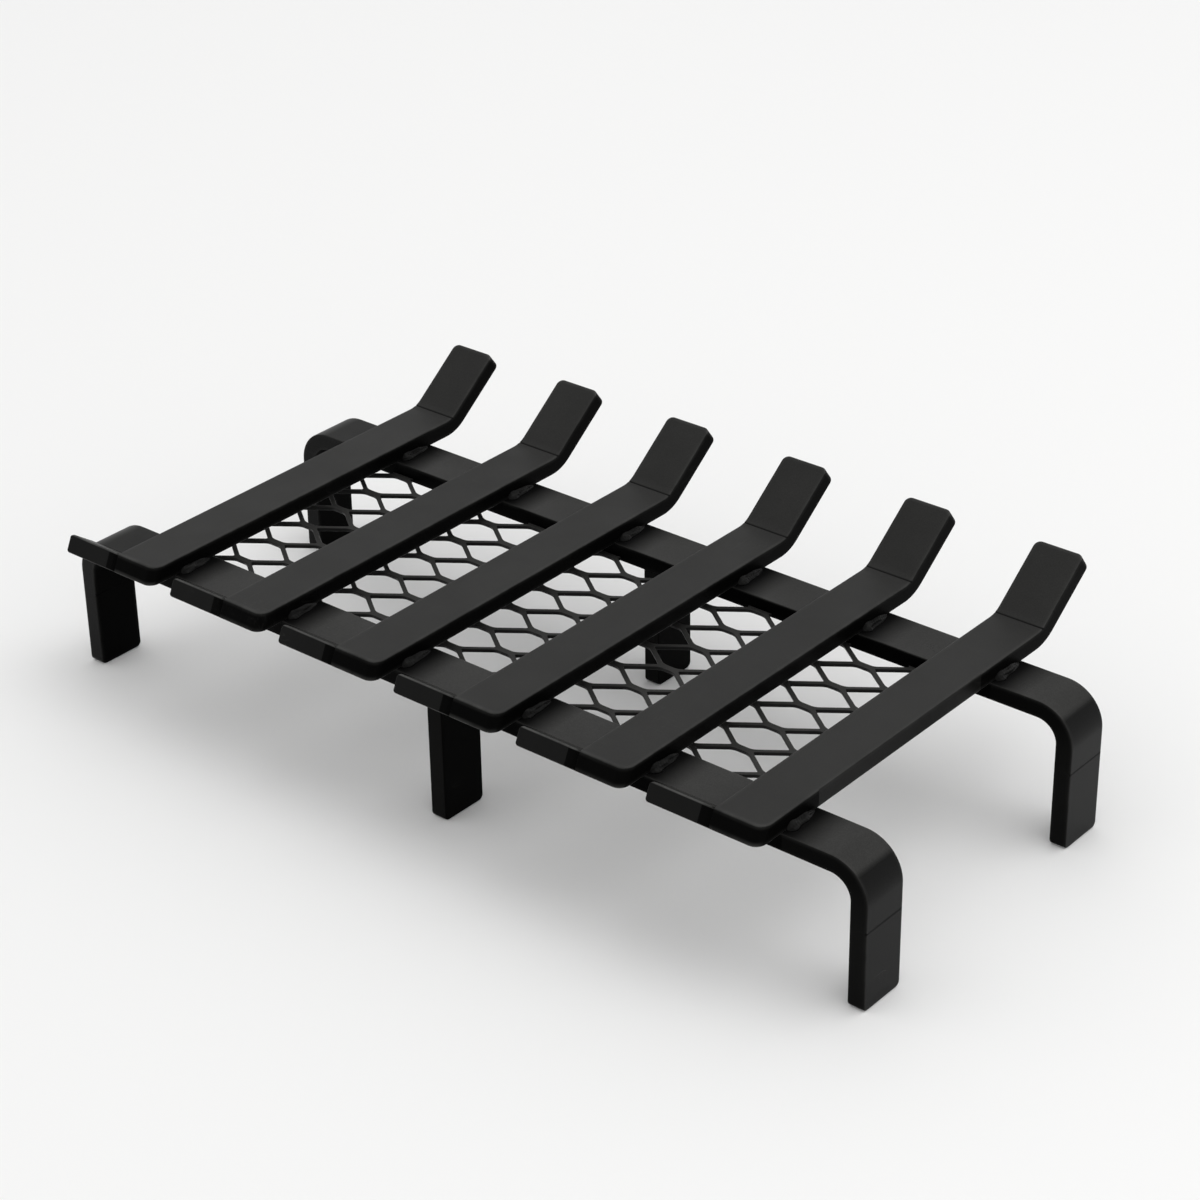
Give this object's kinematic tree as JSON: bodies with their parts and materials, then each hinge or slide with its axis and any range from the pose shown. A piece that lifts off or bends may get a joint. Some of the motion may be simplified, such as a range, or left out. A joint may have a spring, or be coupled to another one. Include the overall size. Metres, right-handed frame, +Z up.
{
  "type": "log grate",
  "caption": "Welded steel log grate for an open fireplace: flat bars with upturned rear ends across two bent rails with legs, front stops and an ember mesh underneath.",
  "frame": {"origin": "centre of the footprint, on the hearth that the feet stand on", "axes": "+X along the rails to the right-hand end as seen from the front, +Y to the back where the bars turn up, +Z up"},
  "size_m": [0.696, 0.3696, 0.1531],
  "materials": {
    "bar_coat": "satin black powder coat on hot-rolled flat bar, softly worn at the edges",
    "stop_coat": "satin black powder coat on thin steel angle",
    "rail_coat": "satin black powder coat on bent flat bar",
    "leg_coat": "satin black powder coat on flat bar, lightly scuffed",
    "mesh_coat": "satin black coat on expanded steel mesh",
    "weld_coat": "black coat over rippled weld metal"
  },
  "bodies": {
    "root": {"grate_bar_1": "bar_coat", "grate_bar_2": "bar_coat", "grate_bar_3": "bar_coat", "grate_bar_4": "bar_coat", "grate_bar_5": "bar_coat", "grate_bar_6": "bar_coat", "front_stop_1": "stop_coat", "front_stop_2": "stop_coat", "front_stop_3": "stop_coat", "front_stop_4": "stop_coat", "front_stop_5": "stop_coat", "front_stop_6": "stop_coat", "front_rail": "rail_coat", "rear_rail": "rail_coat", "foot_front_left": "leg_coat", "foot_front_right": "leg_coat", "foot_rear_left": "leg_coat", "foot_rear_right": "leg_coat", "middle_leg_front": "leg_coat", "middle_leg_rear": "leg_coat", "ember_mesh": "mesh_coat", "welds_front_rail": "weld_coat", "welds_rear_rail": "weld_coat", "welds_middle_legs": "weld_coat"}
  },
  "joints": []
}
